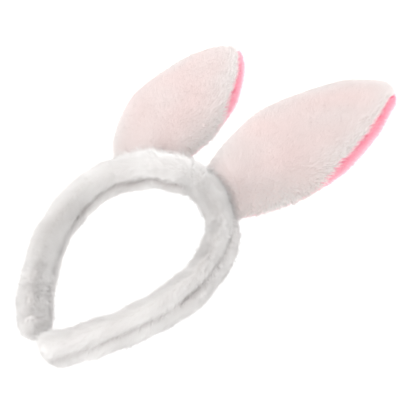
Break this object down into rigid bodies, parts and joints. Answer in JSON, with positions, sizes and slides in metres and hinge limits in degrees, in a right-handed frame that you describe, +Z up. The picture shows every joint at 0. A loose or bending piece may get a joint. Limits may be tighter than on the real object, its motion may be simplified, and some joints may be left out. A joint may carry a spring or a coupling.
{
  "type": "animal ears headband",
  "caption": "Padded faux-fur headband that springs open over the head, with a pair of wired plush rabbit ears that bend and stay.",
  "frame": {"origin": "middle of the crown's inner face, where the band rests on top of the head", "axes": "+Z up through the ears, +X to the wearer's left, -Y is the wearer's front with the pink sides of the ears"},
  "size_m": [0.1837, 0.0359, 0.2673],
  "materials": {
    "white_fur": "short white faux fur, soft and matt",
    "white_plush": "short white plush with a faint blush",
    "pink_plush": "short pink plush",
    "wadding": "soft white polyester wadding",
    "spring_plastic": "springy white moulded strip",
    "steel_wire": "soft galvanised craft wire",
    "sewing_thread": "white sewing thread"
  },
  "bodies": {
    "crown": {"crown_strip": "spring_plastic", "crown_padding": "wadding", "crown_fur_front": "white_fur", "crown_fur_back": "white_fur"},
    "left_leg": {"left_leg_strip": "spring_plastic", "left_leg_padding": "wadding", "left_leg_fur_front": "white_fur", "left_leg_fur_back": "white_fur", "left_leg_end_cap": "white_fur"},
    "right_leg": {"right_leg_strip": "spring_plastic", "right_leg_padding": "wadding", "right_leg_fur_front": "white_fur", "right_leg_fur_back": "white_fur", "right_leg_end_cap": "white_fur"},
    "left_ear": {"left_ear_front": "pink_plush", "left_ear_back": "white_plush", "left_ear_wadding": "wadding", "left_ear_wire": "steel_wire", "left_ear_stitching": "sewing_thread"},
    "right_ear": {"right_ear_front": "pink_plush", "right_ear_back": "white_plush", "right_ear_wadding": "wadding", "right_ear_wire": "steel_wire", "right_ear_stitching": "sewing_thread"}
  },
  "joints": [
    {"name": "left_shoulder_spring", "type": "hinge", "parent": "crown", "child": "left_leg", "pos_m": [0.0667, 0, -0.0396], "axis": [0, -1, 0], "range_deg": [0, 28], "stiffness_Nm_per_rad": 0.45, "springref_deg": -3.44},
    {"name": "right_shoulder_spring", "type": "hinge", "parent": "crown", "child": "right_leg", "pos_m": [-0.0667, 0, -0.0396], "axis": [0, 1, 0], "range_deg": [0, 28], "stiffness_Nm_per_rad": 0.45, "springref_deg": -3.44},
    {"name": "left_ear_bend", "type": "hinge", "parent": "crown", "child": "left_ear", "pos_m": [0.0371, 0, 0.0115], "axis": [0.8768, 0, -0.4809], "range_deg": [-50, 50]},
    {"name": "right_ear_bend", "type": "hinge", "parent": "crown", "child": "right_ear", "pos_m": [-0.0371, 0, 0.0115], "axis": [0.8768, 0, 0.4809], "range_deg": [-50, 50]}
  ]
}
